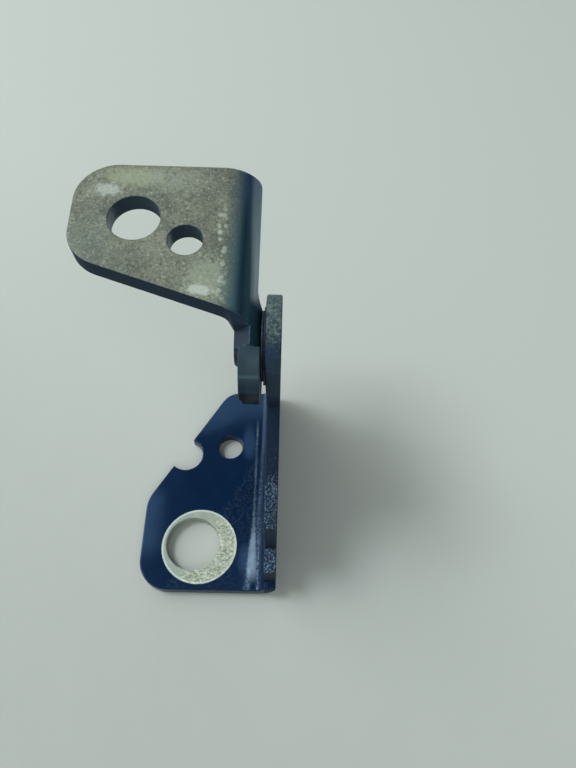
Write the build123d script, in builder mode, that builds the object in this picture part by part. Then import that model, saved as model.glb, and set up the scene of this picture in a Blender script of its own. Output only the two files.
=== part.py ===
from build123d import *
from math import cos, radians, sin
import os

# Car door hinge: two bent steel leaves joined by one headed pin.
# The body leaf lies on its mounting face at z = 0, and the door leaf hangs over it on the pin.
# Origin: centre of the body leaf's large bolt hole, on the mounting face. X runs along the pin,
# Y across it, Z up and square to the body leaf's plate.

# Body leaf.
body_thk = 4.0
body_bend_in = 3.0
body_left = -17.5
body_near = -15.5
body_far = 59.5
ear_face = 28.5            # flat face of the ear, the side away from the door leaf
slant_start = (-17.5, 15.3)
slant_end = (9.0, 59.5)
near_corner_r = 10.0
slant_corner_r = 12.0
far_corner_r = 8.0
notch_at = (-5.5, 33.0)
notch_dia = 12.0
body_large_hole = 18.0
body_small_hole = 9.0
body_small_at = (10.5, 36.4)

# Pin line.
pin_y = 30.0
pin_z = 81.0
pin_dia = 8.0
pin_head_dia = 11.0
pin_head_thk = 1.5
pin_head_edge = 0.9
pin_end_chamfer = 0.5

# Body leaf's ear, as steps and slopes up to the eye.
ear_foot_y = -13.0
shelf_z_near = 18.0
shelf_z_far = 19.5
step_y = -5.5
step_top_z = 38.0
neck_y = 25.5
neck_z = 56.0
eye_r = 11.0
eye_rise = 4.0             # from the pin line up to the centre of the eye's round top
ear_heel_z = 14.0
heel_corner_r = 6.0

# Door leaf, in its own plane through the pin line.
door_tilt = 7.0            # degrees that the door leaf is raised from parallel
door_thk = 5.4
door_bend_in = 5.6
door_top = 16.1            # from the pin line up to the plate's mounting face
door_left = -26.5
door_far = 44.9
door_near_left = 16.0      # the plate's slanting near edge, at its left end
door_near_bend = (14.9, 1.85)     # where that edge turns forward into the bend
door_near_bend_r = 3.0
door_far_corner_r = 11.5
door_near_corner_r = 11.0
door_large_hole = 13.5
door_large_at = (-10.0, 27.7)
door_small_hole = 9.0
door_small_at = (3.6, 21.3)
lobe_r = 12.5
lobe_at = (-2.6, -1.0)     # centre of the ear's round lobe
lobe_top_v = -5.6          # where the lobe's outline runs out into the bend
bend_front_v = -0.6        # front end of the bend, seen along the pin
bend_front_rise = 1.0      # from the lobe's top up to the bend's front end
bend_top = (2.1, 16.1)
lobe_turn = 50.0           # degrees of the bend where the lobe's upper edge is cut
lip_w = 9.6                # lower edge of the lip that the bend leaves behind the lobe
lip_corner_r = 3.0
lip_end_r = 2.0
door_edge_roll = 0.9

# Bush and washer between the ears.
ear_gap = 1.2
running_fit = 0.05
axial_play = 0.1
bush_wall = 1.0
bush_flange_dia = 18.5
bush_flange_thk = 0.6
washer_dia = 20.6
washer_thk = ear_gap - bush_flange_thk - axial_play
washer_play = 0.1

# How far an outline that cuts runs past the metal.
cut_past = 1.0

# Derived positions.
ear_inner = ear_face - body_thk
door_ear_in = ear_inner - ear_gap
door_ear_out = door_ear_in - door_thk
bush_bore = pin_dia + 2 * running_fit
bush_dia = bush_bore + 2 * bush_wall
lobe_low = lobe_at[1] - lobe_r
lobe_top_w = lobe_at[1] + (lobe_r**2 - (lobe_top_v - lobe_at[0]) ** 2) ** 0.5
lobe_back_v = lobe_at[0] + (lobe_r**2 - (lip_w - lobe_at[1]) ** 2) ** 0.5
bend_front = (bend_front_v, lobe_at[1] + lobe_r + bend_front_rise)
bend_axis = (door_ear_out - door_bend_in, door_top - door_thk - door_bend_in)
turn = (sin(radians(lobe_turn)), cos(radians(lobe_turn)))
lobe_top_x = bend_axis[0] + door_bend_in * turn[0]
turn_out = 2 * (door_bend_in + door_thk)
eye_z = pin_z + eye_rise

tilt = radians(door_tilt)
along = (0, cos(tilt), sin(tilt))
upward = (0, -sin(tilt), cos(tilt))
pin_point = (0, pin_y, pin_z)

ear_plane = Plane(origin=(0, 0, 0), x_dir=(0, 1, 0), z_dir=(1, 0, 0))
body_section = Plane(origin=(0, body_near, 0), x_dir=(1, 0, 0), z_dir=(0, -1, 0))
door_plate_plane = Plane(origin=pin_point, x_dir=(1, 0, 0), z_dir=upward)
door_ear_plane = Plane(origin=pin_point, x_dir=along, z_dir=(1, 0, 0))
door_section = Plane(origin=pin_point, x_dir=(1, 0, 0), z_dir=(0, -cos(tilt), -sin(tilt)))
lobe_section = Plane(origin=(door_ear_plane * Pos(lobe_at[0], lobe_at[1], door_ear_out)).position,
                     x_dir=along, z_dir=(0, sin(tilt), -cos(tilt)))
pin_plane = Plane(origin=pin_point, x_dir=(0, 1, 0), z_dir=(1, 0, 0))


# Body leaf: plate on the body, ear bent up, eye for the pin.
with BuildPart() as body_leaf:
    with BuildSketch(body_section) as body_profile:
        with BuildLine():
            Polyline(
                (body_left, 0), (ear_face, 0), (ear_face, eye_z + eye_r),
                (ear_inner, eye_z + eye_r), (ear_inner, body_thk), (body_left, body_thk),
                close=True,
            )
        make_face()
        fillet(body_profile.vertices().sort_by_distance((ear_face, 0))[0],
               body_bend_in + body_thk)
        fillet(body_profile.vertices().sort_by_distance((ear_inner, body_thk))[0],
               body_bend_in)
    extrude(amount=-(body_far - body_near))

    # outline of the plate, seen from above
    with BuildSketch(Plane.XY) as body_outline:
        with BuildLine():
            Polyline(
                (ear_face, body_near), (body_left, body_near), slant_start, slant_end,
                (ear_face, body_far), close=True,
            )
        make_face()
        fillet(body_outline.vertices().sort_by_distance((body_left, body_near))[0], near_corner_r)
        fillet(body_outline.vertices().sort_by_distance(slant_start)[0], slant_corner_r)
        fillet(body_outline.vertices().sort_by_distance(slant_end)[0], far_corner_r)
        with Locations(notch_at):
            Circle(notch_dia / 2, mode=Mode.SUBTRACT)
    extrude(amount=2 * pin_z, mode=Mode.INTERSECT)

    # outline of the ear, seen along the pin
    with BuildSketch(ear_plane) as ear_outline:
        with BuildLine():
            Polyline(
                (body_near, 0), (body_near, body_thk + body_bend_in),
                (ear_foot_y, body_thk + body_bend_in), (ear_foot_y, shelf_z_near),
                (step_y, shelf_z_far), (step_y, step_top_z), (neck_y, neck_z),
                (pin_y - eye_r, eye_z), (pin_y + eye_r, eye_z),
                (body_far, ear_heel_z), (body_far, 0), close=True,
            )
        make_face()
        fillet(ear_outline.vertices().sort_by_distance((body_far, ear_heel_z))[0],
               heel_corner_r)
        with Locations((pin_y, eye_z)):
            Circle(eye_r)
    extrude(amount=ear_face + cut_past, both=True, mode=Mode.INTERSECT)

    # bolt holes and the pin's hole
    with Locations(Plane.XY):
        Hole(body_large_hole / 2, depth=2 * body_thk)
        with Locations(body_small_at):
            Hole(body_small_hole / 2, depth=2 * body_thk)
    with Locations(pin_plane.offset(ear_face)):
        Hole(pin_dia / 2, depth=2 * body_thk)
body_leaf.part.label = "body_leaf"


# Door leaf: plate for the door, ear bent down beside the body leaf's ear.
with BuildPart() as door_leaf:
    with BuildSketch(door_section) as door_profile:
        with BuildLine():
            Polyline(
                (door_left, door_top), (door_ear_in, door_top), (door_ear_in, lobe_low),
                (door_ear_out, lobe_low), (door_ear_out, door_top - door_thk),
                (door_left, door_top - door_thk), close=True,
            )
        make_face()
        fillet(door_profile.vertices().sort_by_distance((door_ear_in, door_top))[0],
               door_bend_in + door_thk)
        fillet(door_profile.vertices().sort_by_distance((door_ear_out, door_top - door_thk))[0],
               door_bend_in)
    extrude(amount=door_far, both=True)

    # outline of the plate
    with BuildSketch(door_plate_plane) as door_outline:
        with BuildLine():
            Polyline(
                (door_ear_in, -2 * lobe_r), (lobe_top_x, -2 * lobe_r), (lobe_top_x, bend_front[0]),
                door_near_bend, (door_left, door_near_left), (door_left, door_far),
                (door_ear_in, door_far), close=True,
            )
        make_face()
        fillet(door_outline.vertices().sort_by_distance((door_left, door_far))[0],
               door_far_corner_r)
        fillet(door_outline.vertices().sort_by_distance((door_left, door_near_left))[0],
               door_near_corner_r)
        fillet(door_outline.vertices().sort_by_distance(door_near_bend)[0], door_near_bend_r)
    extrude(amount=2 * door_top, both=True, mode=Mode.INTERSECT)

    # outline of the ear: a lobe round the pin, and the bend's lip running back to the far end
    with BuildSketch(door_ear_plane) as lobe_outline:
        with Locations(lobe_at):
            Circle(lobe_r)
        with Locations((lobe_top_v, lobe_at[1])):
            Rectangle(3 * lobe_r, 3 * lobe_r, align=(Align.MIN, Align.CENTER),
                      mode=Mode.INTERSECT)
        with BuildLine():
            Polyline(
                lobe_at, (lobe_top_v, lobe_top_w), (lobe_top_v, bend_front[1]), bend_front, bend_top,
                (bend_top[0], door_top + cut_past), (door_far, door_top + cut_past),
                (door_far, lip_w), (lobe_at[0], lip_w), close=True,
            )
        make_face()
        fillet(lobe_outline.vertices().sort_by_distance((lobe_back_v, lip_w))[0], lip_corner_r)
        fillet(lobe_outline.vertices().sort_by_distance((door_far, lip_w))[0], lip_end_r)
    extrude(amount=ear_face + cut_past, both=True, mode=Mode.INTERSECT)

    # the lobe's upper edge, cut square to the sheet part of the way round the bend
    with BuildSketch(door_section.offset(-bend_front[0])):
        with BuildLine():
            Polyline(
                bend_axis, (bend_axis[0] + turn_out * turn[0], bend_axis[1] + turn_out * turn[1]),
                (bend_axis[0], bend_axis[1] + 2 * turn_out), (door_left, bend_axis[1] + turn_out),
                (door_left, bend_axis[1]), close=True,
            )
        make_face()
    extrude(amount=2 * lobe_r, mode=Mode.SUBTRACT)

    # in front of the bend the lobe was slit free of it, so the lobe stays flat and full there
    with BuildSketch(door_ear_plane.offset(door_ear_out)):
        with Locations(lobe_at):
            Circle(lobe_r)
        with Locations((lobe_top_v, lobe_at[1])):
            Rectangle(3 * lobe_r, 3 * lobe_r, align=(Align.MAX, Align.CENTER),
                      mode=Mode.INTERSECT)
    extrude(amount=door_thk)

    # the rolled edge that the press leaves round the ear's outer face
    with BuildSketch(lobe_section):
        with BuildLine():
            Polyline(
                (lobe_r - door_edge_roll, 0), (lobe_r + cut_past, 0),
                (lobe_r + cut_past, door_edge_roll + cut_past), (lobe_r, door_edge_roll),
                close=True,
            )
        make_face()
    revolve(axis=Axis(lobe_section.origin, (-1, 0, 0)), revolution_arc=180, mode=Mode.SUBTRACT)

    # bolt holes and the bush's bore
    with Locations(door_plate_plane.offset(door_top)):
        with Locations(door_large_at):
            Hole(door_large_hole / 2, depth=2 * door_thk)
        with Locations(door_small_at):
            Hole(door_small_hole / 2, depth=2 * door_thk)
    with Locations(pin_plane.offset(door_ear_in)):
        Hole(bush_dia / 2, depth=2 * door_thk)
door_leaf.part.label = "door_leaf"


# Headed pin, pressed into the body leaf's ear.
with BuildPart() as hinge_pin:
    with BuildSketch(pin_plane.offset(door_ear_out - axial_play)):
        Circle(pin_head_dia / 2)
    extrude(amount=-pin_head_thk)
    fillet(hinge_pin.edges().sort_by(Axis.X)[0], pin_head_edge)
    with BuildSketch(pin_plane.offset(door_ear_out - axial_play)):
        Circle(pin_dia / 2)
    extrude(amount=ear_face - door_ear_out + axial_play)
    chamfer(hinge_pin.edges().sort_by(Axis.X)[-1], pin_end_chamfer)
hinge_pin.part.label = "hinge_pin"


# Flanged bush, pressed into the door leaf's ear.
with BuildPart() as ear_bush:
    with BuildSketch(pin_plane.offset(door_ear_out)):
        Circle(bush_dia / 2)
    extrude(amount=door_thk)
    with BuildSketch(pin_plane.offset(door_ear_in)):
        Circle(bush_flange_dia / 2)
    extrude(amount=bush_flange_thk)
    with Locations(pin_plane.offset(door_ear_in + bush_flange_thk)):
        Hole(bush_bore / 2, depth=2 * door_thk)
ear_bush.part.label = "ear_bush"


# Thrust washer, on the pin against the body leaf's ear.
with BuildPart() as thrust_washer:
    with BuildSketch(pin_plane.offset(ear_inner)):
        Circle(washer_dia / 2)
        Circle(pin_dia / 2 + washer_play, mode=Mode.SUBTRACT)
    extrude(amount=-washer_thk)
thrust_washer.part.label = "thrust_washer"


os.makedirs("parts", exist_ok=True)
export_step(body_leaf.part, "parts/body_leaf.step")
export_step(door_leaf.part, "parts/door_leaf.step")
export_step(hinge_pin.part, "parts/hinge_pin.step")
export_step(ear_bush.part, "parts/ear_bush.step")
export_step(thrust_washer.part, "parts/thrust_washer.step")
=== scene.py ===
# %% [markdown]
# # A car door hinge
# Two bent steel leaves turn on one headed pin. The lower leaf was bolted to the car's body and
# is painted navy. The upper one was bolted to the door, and its plate is bare, stained zinc.
# The measured solids come in as a fixed frame, so this lesson is about what makes pressed
# steel look real: soft edges, a coat that is worn where parts were clamped, and grime.

# %% Load the measured frame
from math import cos, radians, sin

import bmesh
import bpy
from mathutils import Matrix, Vector


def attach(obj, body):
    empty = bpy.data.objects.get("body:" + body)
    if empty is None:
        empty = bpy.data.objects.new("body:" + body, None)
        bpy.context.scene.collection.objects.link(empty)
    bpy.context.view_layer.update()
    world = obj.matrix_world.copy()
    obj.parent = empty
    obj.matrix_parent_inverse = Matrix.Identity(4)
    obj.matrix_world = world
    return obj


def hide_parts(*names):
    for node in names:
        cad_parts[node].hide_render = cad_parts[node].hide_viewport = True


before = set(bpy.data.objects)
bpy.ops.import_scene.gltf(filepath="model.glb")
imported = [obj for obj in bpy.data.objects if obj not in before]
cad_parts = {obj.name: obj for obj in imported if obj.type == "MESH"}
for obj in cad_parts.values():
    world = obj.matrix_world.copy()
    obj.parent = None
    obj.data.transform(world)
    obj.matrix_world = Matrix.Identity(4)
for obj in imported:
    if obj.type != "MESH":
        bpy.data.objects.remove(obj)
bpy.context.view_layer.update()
bpy.ops.object.select_all(action="DESELECT")

MM = 0.001

# %% [markdown]
# ## Places that the finishes need
# The frame gives every solid its place, but paint and wear start at lines of their own: the
# pin, the ear's face, the holes, and the ring that a washer has pressed bare. They are written
# here once. A place on the door leaf is given across the plate and along it from the pin.

# %% The hinge's own lines
pin_line = Vector((0, 30.0, 81.0)) * MM
door_tilt = radians(7.0)
door_top = 16.1 * MM
bare_ring_centre = (2.1 * MM, -0.8 * MM)
bare_ring_radius = 12.75 * MM
ear_inner = 24.5 * MM
door_holes = (((-10.0 * MM, 27.7 * MM), 6.75 * MM), ((3.6 * MM, 21.3 * MM), 4.5 * MM))
camera_place = Vector((28.5, -63.0, 220.0)) * MM

# %% [markdown]
# ## Soft edges
# A press never leaves a knife edge: the metal rolls over where the punch enters. A solid from
# the frame has perfect corners, so a copy of it is merged and its flat faces are joined up.
# Each sharp edge then gets a weight, and a weighted bevel rounds it. The rounding stays narrower
# than the facets of a bend. The copy then stands for the solid.

# %% A copy of a solid with its edges rounded
SHARP = radians(28)


def rounded(node, body, width):
    """A copy of the node with its sharp edges rounded."""
    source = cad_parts[node]
    piece = bpy.data.objects.new(node + "_skin", source.data.copy())
    bpy.context.collection.objects.link(piece)
    piece.matrix_world = source.matrix_world
    bpy.context.view_layer.objects.active = piece
    piece.select_set(True)
    bpy.ops.object.transform_apply(location=True, rotation=True, scale=True)
    bpy.ops.object.mode_set(mode="EDIT")
    bpy.ops.mesh.select_all(action="SELECT")
    bpy.ops.mesh.remove_doubles(threshold=0.002 * MM)
    bpy.ops.mesh.dissolve_degenerate(threshold=0.05 * MM)
    bpy.ops.mesh.dissolve_limited(angle_limit=radians(0.4))
    mesh = bmesh.from_edit_mesh(piece.data)
    weight = mesh.edges.layers.float.new("bevel_weight_edge")
    for edge in mesh.edges:
        if edge.is_manifold and edge.calc_face_angle() > SHARP:
            edge[weight] = 1.0
    bmesh.update_edit_mesh(piece.data)
    bpy.ops.object.mode_set(mode="OBJECT")
    bevel = piece.modifiers.new("rolled_edges", "BEVEL")
    bevel.limit_method, bevel.width, bevel.segments = "WEIGHT", width, 3
    bevel.use_clamp_overlap = False
    bpy.ops.object.modifier_apply(modifier="rolled_edges")
    bpy.ops.object.shade_smooth_by_angle(angle=radians(35))
    even = piece.modifiers.new("even_shading", "WEIGHTED_NORMAL")
    even.keep_sharp = True
    bpy.ops.object.modifier_apply(modifier="even_shading")
    piece.select_set(False)
    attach(piece, body)
    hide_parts(node)
    print(node, "has", len(piece.data.polygons), "faces after rounding")
    return piece


# %% [markdown]
# ## The leaves and what turns between them
# Both leaves are punched, so their outlines are rolled, and the thick paint rounds the body
# leaf's edges further. The pin, the bush and the washer have only their corners broken.

# %% Round the leaves, the pin and the discs
body_leaf = rounded("body_leaf", "body_side", 0.45 * MM)
door_leaf = rounded("door_leaf", "door_side", 0.32 * MM)
hinge_pin = rounded("hinge_pin", "body_side", 0.15 * MM)
ear_bush = rounded("ear_bush", "door_side", 0.12 * MM)
thrust_washer = rounded("thrust_washer", "body_side", 0.12 * MM)

# %% [markdown]
# ## Shader maths as plain expressions
# A finish is mostly arithmetic on a few patterns. The small class below wraps a shader socket,
# so that masks can be added and multiplied as numbers are.


# %% A number or colour that varies over a surface
class Field:
    def __init__(self, finish, socket):
        self.finish, self.socket = finish, socket

    def _math(self, operation, first, second):
        return self.finish.node("ShaderNodeMath", {"operation": operation}, {0: first, 1: second})

    def __add__(self, other):
        return self._math("ADD", self, other)

    def __sub__(self, other):
        return self._math("SUBTRACT", self, other)

    def __rsub__(self, other):
        return self._math("SUBTRACT", other, self)

    def __mul__(self, other):
        return self._math("MULTIPLY", self, other)

    def __pow__(self, other):
        return self._math("POWER", self, other)

    __radd__, __rmul__ = __add__, __mul__


# %% A finish and the one way to add its nodes
def shade(red, green, blue):
    """A colour as a picture shows it, 0 to 255, turned into the light that it gives back."""
    return tuple((c / 255 / 12.92) if c < 10.4 else ((c / 255 + 0.055) / 1.055) ** 2.4
                 for c in (red, green, blue)) + (1.0,)


class Finish:
    def __init__(self, name):
        self.material = bpy.data.materials.new(name)
        self.material.use_nodes = True
        self.tree = self.material.node_tree
        self.tree.nodes.clear()
        self.place = self.node("ShaderNodeTexCoord", out="Object")
        self.x, self.y, self.z = self.split(self.place)

    def node(self, kind, settings=None, sockets=None, out=0):
        made = self.tree.nodes.new(kind)
        for name, value in (settings or {}).items():
            setattr(made, name, value)
        for name, value in (sockets or {}).items():
            if isinstance(value, Field):
                self.tree.links.new(value.socket, made.inputs[name])
            else:
                made.inputs[name].default_value = value
        return Field(self, made.outputs[out])

    def split(self, vector):
        first = self.node("ShaderNodeSeparateXYZ", None, {0: vector})
        outputs = first.socket.node.outputs
        return [Field(self, outputs[i]) for i in range(3)]

    def noise(self, size, detail=3.0, roughness=0.55, stretch=(1, 1, 1)):
        """Cloudy pattern whose blobs are about size across; 0.5 on average."""
        place = self.node("ShaderNodeMapping", None, {"Vector": self.place, "Scale": stretch})
        return self.node("ShaderNodeTexNoise", {"noise_dimensions": "3D"},
                         {"Vector": place, "Scale": 1 / size, "Detail": detail,
                          "Roughness": roughness}, out="Fac")

    def cells(self, size):
        """Distance to the nearest of many scattered points, 0 at each point."""
        return self.node("ShaderNodeTexVoronoi", {"feature": "F1"},
                         {"Vector": self.place, "Scale": 1 / size}, out="Distance")

    def rise(self, value, low, high):
        """0 below low, 1 above high, and smooth between; high may be under low."""
        start, end = (0.0, 1.0) if low < high else (1.0, 0.0)
        return self.node("ShaderNodeMapRange", {"interpolation_type": "SMOOTHSTEP"},
                         {"Value": value, "From Min": min(low, high), "From Max": max(low, high),
                          "To Min": start, "To Max": end}, out="Result")

    def between(self, value, low, high, soft):
        return self.rise(value, low - soft, low + soft) * self.rise(value, high + soft, high - soft)

    def mix(self, factor, first, second):
        made = self.tree.nodes.new("ShaderNodeMix")
        made.data_type = "RGBA"
        for socket, value in ((made.inputs[0], factor), (made.inputs[6], first),
                              (made.inputs[7], second)):
            if isinstance(value, Field):
                self.tree.links.new(value.socket, socket)
            else:
                socket.default_value = value
        return Field(self, made.outputs[2])

    def distance(self, first, second, third=None):
        """How far a point with these offsets is from nothing."""
        total = first * first + second * second
        if third is not None:
            total = total + third * third
        return total ** 0.5

    def bump(self, height, depth, strength=1.0):
        """height runs from 0 to 1 and depth is what 1 means, in metres."""
        return self.node("ShaderNodeBump", None,
                         {"Height": height, "Distance": depth, "Strength": strength}, out="Normal")

    def facing(self):
        """The surface's own direction, in the piece's axes."""
        return self.split(self.node("ShaderNodeTexCoord", out="Normal"))

    def finish(self, colour, roughness, metallic, normal=None, **constants):
        sockets = {"Base Color": colour, "Roughness": roughness, "Metallic": metallic}
        if normal is not None:
            sockets["Normal"] = normal
        for name, value in constants.items():
            sockets[name.replace("_", " ")] = value
        surface = self.node("ShaderNodeBsdfPrincipled", None, sockets)
        self.node_out(surface)
        return self.material

    def node_out(self, surface):
        out = self.tree.nodes.new("ShaderNodeOutputMaterial")
        self.tree.links.new(surface.socket, out.inputs["Surface"])


# %% [markdown]
# ## Navy paint
# The body leaf was dipped and sprayed before it met the car, so the coat is thick and glossy,
# with a slight orange peel. It shows bare zinc where a washer was clamped round the large
# hole, and dust has dried onto the eye. The sheared edges are rough under the paint, because
# the punch tears the lower half of a cut.
# The window's reflections, the streak along the bend, glints on the torn steps and the shade on the
# ear's steps are painted into the colour.


# %% Paint for the body leaf
def navy_paint():
    f = Finish("navy_paint")
    x, y, z = f.x, f.y, f.z
    nx, ny, nz = f.facing()

    drift = f.noise(9 * MM, detail=4)
    fine = f.noise(0.9 * MM, detail=5, roughness=0.7)
    grain = f.noise(0.35 * MM, detail=3, roughness=0.7)

    colour = f.mix(drift, shade(2, 21, 46), shade(5, 31, 60))

    # painted reflection: the colour is lighter where the gloss would mirror the window: the plate's
    # ends, and two spots near the bend
    soft = (drift - 0.5) * (7 * MM)
    painted_sheen = (f.rise(x + soft, -7 * MM, -17 * MM) * f.between(y, -4 * MM, 20 * MM, 6 * MM)
             + f.rise(y + soft - x * 0.3, 36 * MM, 50 * MM)
             + f.rise(f.distance(x - 18.4 * MM, (y + 5 * MM) * 0.6) + soft * 0.3, 5 * MM, 1 * MM)
             + f.rise(f.distance(x - 17.5 * MM, (y - 38 * MM) * 0.4) + soft * 0.3, 4 * MM, 1 * MM))
    painted_sheen = f.rise(painted_sheen, 0.0, 1.2) * f.rise(nz, 0.8, 0.95)
    colour = f.mix(painted_sheen * 0.85, colour, shade(42, 66, 94))

    # painted highlight: the streak of window light along the bend, widest at the near end
    wide = f.rise(y, 12 * MM, -9 * MM) * (1.3 * MM)
    aside = f.distance(x - 20.3 * MM, 0.0) - wide + (fine - 0.5) * (1.6 * MM)
    painted_streak = f.rise(aside, 0.7 * MM, -0.2 * MM) * f.between(y, -11 * MM, 46 * MM, 3 * MM)
    painted_streak = painted_streak * f.rise(z, 12 * MM, 8 * MM)
    lit = 0.25 + f.rise(y, 16 * MM, -4 * MM) * 0.35 + f.rise(drift, 0.4, 0.65) * 0.3
    colour = f.mix(painted_streak * lit, colour, shade(122, 140, 154))

    # sheared edges of the ear: the steps that face up are torn; painted shade darkens these steps
    # and the upright cut faces, and painted glints speckle the torn steps
    on_ear = f.rise(x, ear_inner - 0.1 * MM, ear_inner + 0.4 * MM)
    cut_face = on_ear * f.rise(ny, -0.30, -0.42) * f.rise(z, 88 * MM, 84 * MM)
    torn = f.noise(0.65 * MM, detail=6, roughness=0.75, stretch=(1.4, 1, 0.8))
    step_top = on_ear * f.rise(nz, 0.35, 0.7) * f.between(z, 16.5 * MM, 50 * MM, 0.5 * MM)
    torn_zone = f.rise(y, 16 * MM, 5 * MM) * step_top
    painted_glints = step_top * f.rise(torn - f.rise(y, 4 * MM, 12 * MM) * 0.13, 0.47, 0.62)
    colour = f.mix(f.rise(cut_face + step_top, 0, 1) * 0.7, colour, shade(4, 16, 32))
    colour = f.mix(painted_glints * (0.35 + f.rise(drift, 0.35, 0.6) * 0.5), colour, shade(140, 170, 194))

    # a greyer, lighter blue over the eye, and dried dust over its crown
    dim_eye = f.between(z, 66 * MM, 93 * MM, 4 * MM) * on_ear
    colour = f.mix(dim_eye * 0.6, colour, f.mix(fine, shade(24, 40, 52), shade(54, 72, 84)))
    dusty = f.rise(z + (fine - 0.5) * (4 * MM), 91.5 * MM, 96 * MM) * on_ear
    dust = f.mix(f.rise(fine, 0.35, 0.7), shade(46, 62, 62), shade(106, 122, 112))
    colour = f.mix(dusty * 0.9, colour, dust)

    # bare zinc where a washer was clamped, scuffed dark on the side that carried the load
    rim = f.distance(x - bare_ring_centre[0], y - bare_ring_centre[1])
    uneven = rim + (fine - 0.5) * (0.3 * MM)
    bare = f.rise(uneven, bare_ring_radius + 0.10 * MM, bare_ring_radius - 0.10 * MM)
    bare = bare * f.rise(nz, -0.5, -0.1)
    scuff = f.noise(0.9 * MM, detail=6, roughness=0.75, stretch=(1, 1.5, 1))
    loaded = f.rise(x * 0.85 - y * 0.5, -1 * MM, 6 * MM)
    speck = f.rise(scuff, 0.52, 0.60) * loaded
    bright = f.rise(scuff, 0.46, 0.36) * loaded
    zinc = f.mix(f.noise(3 * MM, detail=4), shade(128, 140, 132), shade(168, 174, 152))
    zinc = f.mix(loaded * 0.55, zinc, shade(188, 192, 166))
    zinc = f.mix(bright * 0.8, zinc, shade(238, 240, 222))
    zinc = f.mix(speck * 0.7, zinc, shade(86, 98, 88))
    outer_line = f.between(rim, 12.1 * MM, 12.7 * MM, 0.2 * MM) * bare
    zinc = f.mix(outer_line * 0.5, zinc, shade(216, 228, 218))
    colour = f.mix(bare, colour, zinc)

    roughness = 0.2 + drift * 0.08 + bare * 0.3 + dusty * 0.4 + cut_face * 0.35
    peel = f.noise(3.0 * MM, detail=0)
    pooled = f.rise(x - y * 0.12, 17.0 * MM, 22.5 * MM) ** 2.0
    height = (peel * 0.10 + torn_zone * torn * 2.4 + bare * fine * 0.4 + speck * -0.4
              + dusty * fine * 0.5 + grain * 0.03 - bare * 0.8 + pooled * 5.0)
    normal = f.bump(height, 0.12 * MM)
    return f.finish(colour, roughness, bare * 0.2, normal, Specular_IOR_Level=0.36,
                    Specular_Tint=shade(186, 220, 255))
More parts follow.
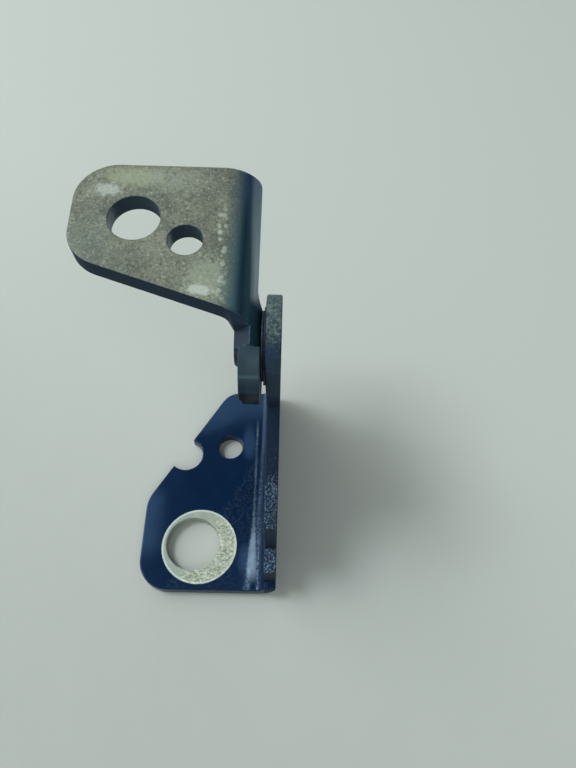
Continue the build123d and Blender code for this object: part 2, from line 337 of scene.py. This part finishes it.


# %% [markdown]
# ## Stained zinc with a dark bend
# The door leaf's plate was clamped flat against the door, so its coat wore away and the zinc
# went dull, olive and stained. The bend never touched the door and kept its dark blue coat,
# and a ragged row of pale flakes marks the border.
# The bend's reflections and the light and shade on the lobe's rim are painted into the colour.


# %% Zinc and dark coat for the door leaf
def dull_zinc():
    f = Finish("dull_zinc")
    x, y, z = f.x, f.y, f.z
    nx, ny, nz = f.facing()
    along = (y - pin_line.y) * cos(door_tilt) + (z - pin_line.z) * sin(door_tilt)
    up = (z - pin_line.z) * cos(door_tilt) - (y - pin_line.y) * sin(door_tilt)

    clouds = f.noise(6 * MM, detail=6, roughness=0.65)
    fine = f.noise(1.3 * MM, detail=5, roughness=0.7)
    grain = f.noise(0.8 * MM, detail=5, roughness=0.8)

    def stain(at, reach, ragged):
        """1 in the middle of an oval on the plate and 0 past its ragged edge; sizes in mm."""
        across = (x * 1000 - at[0]) * (1 / reach[0])
        back = (along * 1000 - at[1]) * (1 / reach[1])
        return f.rise(f.distance(across, back) + (clouds - 0.5) * (1.6 * ragged)
                      + (fine - 0.5) * (1.8 * ragged), 1.2, 0.4)

    # the worn zinc: clouds, dark and pale grain, stains, and grain again over the stains
    zinc = f.mix(f.rise(clouds, 0.3, 0.7), shade(94, 96, 83), shade(124, 126, 108))
    zinc = f.mix(f.rise(grain, 0.52, 0.64) * 0.75, zinc, shade(56, 64, 56))
    zinc = f.mix(f.rise(grain, 0.47, 0.32) * 0.5, zinc, shade(158, 165, 146))
    for at, reach, ragged, strength, tone in (
            ((-21, 20), (9, 7), 1.0, 0.35, shade(92, 102, 94)),
            ((-11.5, 41), (9, 3.6), 1.0, 0.75, shade(148, 154, 122)),
            ((-1, 40.5), (10, 4.5), 1.5, 0.5, shade(146, 152, 134)),
            ((9.5, 9.5), (6.5, 7), 1.4, 0.65, shade(148, 155, 134)),
            ((8.2, 6.6), (3.2, 1.7), 1.0, 0.8, shade(182, 188, 176)),
            ((-18, 36.4), (4.6, 2.3), 1.0, 0.75, shade(172, 178, 166))):
        zinc = f.mix(stain(at, reach, ragged) * strength, zinc, tone)
    zinc = f.mix(f.rise(grain, 0.54, 0.66) * 0.4, zinc, shade(70, 76, 62))
    zinc = f.mix(f.rise(grain, 0.44, 0.34) * 0.38, zinc, shade(180, 186, 168))

    # where the coat is gone: the top of the plate, and the start of the bend
    border = (fine - 0.5) * (1.6 * MM) + (clouds - 0.5) * (2.0 * MM) - along * 0.05
    worn_through = f.rise(x + border, 17.2 * MM, 10.8 * MM)
    on_top = f.rise(up, door_top - 0.75 * MM, door_top - 0.1 * MM)
    rolled_over = f.rise(x, 11.0 * MM, 13.5 * MM)
    clamped = worn_through * (on_top + rolled_over - on_top * rolled_over)
    clamped = clamped * f.rise(nz, 0.72, 0.9)

    # the dark coat on all the rest: teal, with a painted reflection making it lighter where the
    # bend starts to turn, and navy far back
    coat = f.mix(fine, shade(30, 57, 68), shade(52, 79, 88))
    painted_turn_light = f.rise(nx, 0.55, 0.25) * f.rise(nz, 0.6, 0.8) * f.rise(along, 1 * MM, 4 * MM)
    coat = f.mix(painted_turn_light * 0.7, coat, shade(78, 104, 106))
    coat = f.mix(f.rise(along, 28 * MM, 44 * MM) * 0.6, coat, shade(26, 50, 84))

    # painted reflections of what the bend mirrors: a dark band, then a pale one on its upright side
    painted_dark_band = f.between(nx, 0.50, 0.62, 0.08) * f.rise(along, 40 * MM, 28 * MM)
    coat = f.mix(painted_dark_band * 0.75, coat, shade(6, 26, 38))
    taper = f.rise(along, 40 * MM, 10 * MM) * 0.07
    side = f.rise(nx - taper, 0.62, 0.78) * f.rise(along, 5 * MM, 8.5 * MM)
    coat = f.mix(side * (0.35 + f.rise(along, 44 * MM, 8 * MM) * 0.55), coat, shade(166, 180, 186))

    # sheared faces: the slanting edge, the walls of the holes, and the end of the slit
    cut_edge = f.rise(ny, -0.30, -0.65) * f.rise(x, 21 * MM, 19 * MM)
    coat = f.mix(cut_edge * 0.9, coat, shade(26, 34, 50))
    for (across, back), radius in door_holes:
        rim = f.distance(x - across, along - back)
        bored = f.rise(rim, radius + 0.55 * MM, radius + 0.35 * MM)
        coat = f.mix(bored * 0.7, coat, shade(54, 68, 76))
    slit = f.between(nx, -0.84, -0.38, 0.1) * f.rise(x, 14 * MM, 15 * MM) * f.rise(along, 1 * MM, 0)
    coat = f.mix(slit * 0.85, coat, shade(34, 38, 52))

    # painted light and shade on the rim of the lobe: a lighter top, a painted highlight line at its
    # front corner, then darker bands down to a painted shadow on its underside
    lobe = f.rise(along, -5 * MM, -6.2 * MM) * f.rise(nx * nx, 0.5, 0.25)
    coat = f.mix(lobe, coat, f.mix(fine, shade(16, 34, 46), shade(34, 50, 62)))
    coat = f.mix(lobe * f.rise(up, 4 * MM, 8 * MM), coat, shade(46, 60, 68))
    glint = f.between(up, 6.9 * MM, 7.3 * MM, 0.4 * MM)
    coat = f.mix(lobe * glint * 0.5, coat, shade(90, 110, 120))
    coat = f.mix(lobe * f.rise(up, 3.2 * MM, 1.6 * MM), coat, shade(0, 6, 14))
    colour = f.mix(clamped, coat, zinc)

    # a row of pale flakes along the border
    flake = f.rise(f.cells(1.7 * MM), 0.50, 0.34)
    flakes = flake * f.between(x + along * 0.03, 12.4 * MM, 14.8 * MM, 0.6 * MM)
    flakes = flakes * f.between(along, 4 * MM, 31 * MM, 4 * MM) * clamped
    colour = f.mix(flakes * (0.5 + fine * 0.6), colour, shade(168, 178, 158))

    roughness = 0.30 + clamped * 0.22 + grain * 0.1 + cut_edge * 0.5
    height = grain * 0.5 * clamped + fine * 0.25 + flakes * 0.5
    normal = f.bump(height, 0.07 * MM)
    return f.finish(colour, roughness, clamped * 0.25, normal, Specular_IOR_Level=0.34,
                    Specular_Tint=shade(190, 218, 240))


# %% [markdown]
# ## The pin and the discs
# These never saw a spray gun after they were pressed home: dark metal under old grease.


# %% Greasy dark metal
def greasy(name, dark, light, metallic):
    f = Finish(name)
    fine = f.noise(0.9 * MM, detail=5, roughness=0.7)
    film = f.rise(f.noise(3 * MM, detail=4), 0.35, 0.65)
    colour = f.mix(film, dark, f.mix(fine, dark, light))
    return f.finish(colour, 0.35 + fine * 0.3, metallic, f.bump(fine, 0.05 * MM))


# %% Give each piece its finish
def wear(piece, material):
    piece.data.materials.clear()
    piece.data.materials.append(material)


wear(body_leaf, navy_paint())
wear(door_leaf, dull_zinc())
wear(hinge_pin, greasy("dark_pin", shade(16, 26, 36), shade(48, 60, 66), 0.3))
wear(ear_bush, greasy("worn_bush", shade(20, 36, 50), shade(60, 78, 90), 0.4))
wear(thrust_washer, greasy("washer_steel", shade(16, 30, 44), shade(44, 60, 72), 0.4))

# %% [markdown]
# ## Floor, light and camera
# The hinge lies on pale paper under the broad light of a room. The light is soft, so shadows
# are only a darkening near the metal. The world is pale near the horizon and dim overhead,
# which is what the gloss of the paint shows.


# %% The paper that the hinge lies on
bpy.ops.mesh.primitive_plane_add(size=4.0, location=(0, 0, -0.02 * MM))
floor = bpy.context.object
floor.name = "paper_floor"


def paper():
    f = Finish("paper")
    mottle = f.noise(14 * MM, detail=5)
    tooth = f.noise(0.8 * MM, detail=3)
    colour = f.mix(mottle, shade(170, 173, 165), shade(176, 179, 171))
    # painted light: the paper grows brighter towards the far right, standing in for the room light
    # that falls stronger there
    painted_far_light = f.rise(f.y + f.x * 0.7, -0.10, 0.14)
    colour = f.mix(painted_far_light, colour, shade(189, 192, 183))
    return f.finish(colour, 0.75, 0.0, f.bump(tooth, 0.03 * MM))


wear(floor, paper())


# %% Lamps
def lamp(name, place, target, size, power, colour):
    data = bpy.data.lights.new(name, "AREA")
    data.shape, data.size, data.energy, data.color = "DISK", size, power, colour
    obj = bpy.data.objects.new(name, data)
    bpy.context.collection.objects.link(obj)
    obj.location = place
    obj.rotation_euler = (Vector(target) - Vector(place)).to_track_quat("-Z", "Y").to_euler()
    return obj


hinge_middle = (0, 25 * MM, 50 * MM)
lamp("window", (-1.25, 0.75, 1.15), hinge_middle, 1.3, 8.0, (1.0, 1.0, 1.0))
lamp("skylight", (-0.92, 0.24, 1.45), hinge_middle, 0.6, 15.0, (0.86, 0.94, 1.0))
lamp("room_fill", (0.5, -1.2, 1.6), hinge_middle, 1.2, 8.0, (1.0, 1.0, 1.0))

# %% World
world = bpy.data.worlds.new("room")
bpy.context.scene.world = world
world.use_nodes = True
room = world.node_tree
room.nodes.clear()
direction = room.nodes.new("ShaderNodeTexCoord")
parts = room.nodes.new("ShaderNodeSeparateXYZ")
room.links.new(direction.outputs["Generated"], parts.inputs[0])
light = None
for axis, start, end, dim in (("Z", 0.70, 0.95, shade(44, 68, 92)),
                              ("X", 0.15, 0.60, shade(84, 100, 112))):
    ramp = room.nodes.new("ShaderNodeMapRange")
    ramp.interpolation_type = "SMOOTHSTEP"
    ramp.inputs["From Min"].default_value = start
    ramp.inputs["From Max"].default_value = end
    blend = room.nodes.new("ShaderNodeMix")
    blend.data_type = "RGBA"
    blend.inputs[6].default_value = shade(232, 240, 238)
    blend.inputs[7].default_value = dim
    room.links.new(parts.outputs[axis], ramp.inputs["Value"])
    room.links.new(ramp.outputs["Result"], blend.inputs[0])
    if light is not None:
        room.links.new(light, blend.inputs[6])
    light = blend.outputs[2]
# past the paper's edge the camera sees plain pale wall
ray = room.nodes.new("ShaderNodeLightPath")
seen = room.nodes.new("ShaderNodeMix")
seen.data_type = "RGBA"
seen.inputs[7].default_value = shade(196, 206, 201)
room.links.new(ray.outputs["Is Camera Ray"], seen.inputs[0])
room.links.new(light, seen.inputs[6])
glow = room.nodes.new("ShaderNodeBackground")
out = room.nodes.new("ShaderNodeOutputWorld")
room.links.new(seen.outputs[2], glow.inputs["Color"])
room.links.new(glow.outputs[0], out.inputs["Surface"])

# %% Camera
# Solved from the round holes and the painted plate's outline in the photograph.
camera_data = bpy.data.cameras.new("camera")
camera_data.sensor_fit = "VERTICAL"
camera_data.sensor_height = 36.0
camera_data.lens = 29.91
camera_data.clip_start = 0.005
camera = bpy.data.objects.new("camera", camera_data)
bpy.context.collection.objects.link(camera)
camera_right = Vector((0.99963, 0.01534, 0.02236))
camera_up = Vector((-0.02456, 0.86190, 0.50648))
camera_back = camera_right.cross(camera_up)
camera.matrix_world = Matrix.Translation(camera_place) @ Matrix(
    (camera_right, camera_up, camera_back)).transposed().to_4x4()
bpy.context.scene.camera = camera
bpy.context.scene.view_settings.view_transform = "Standard"
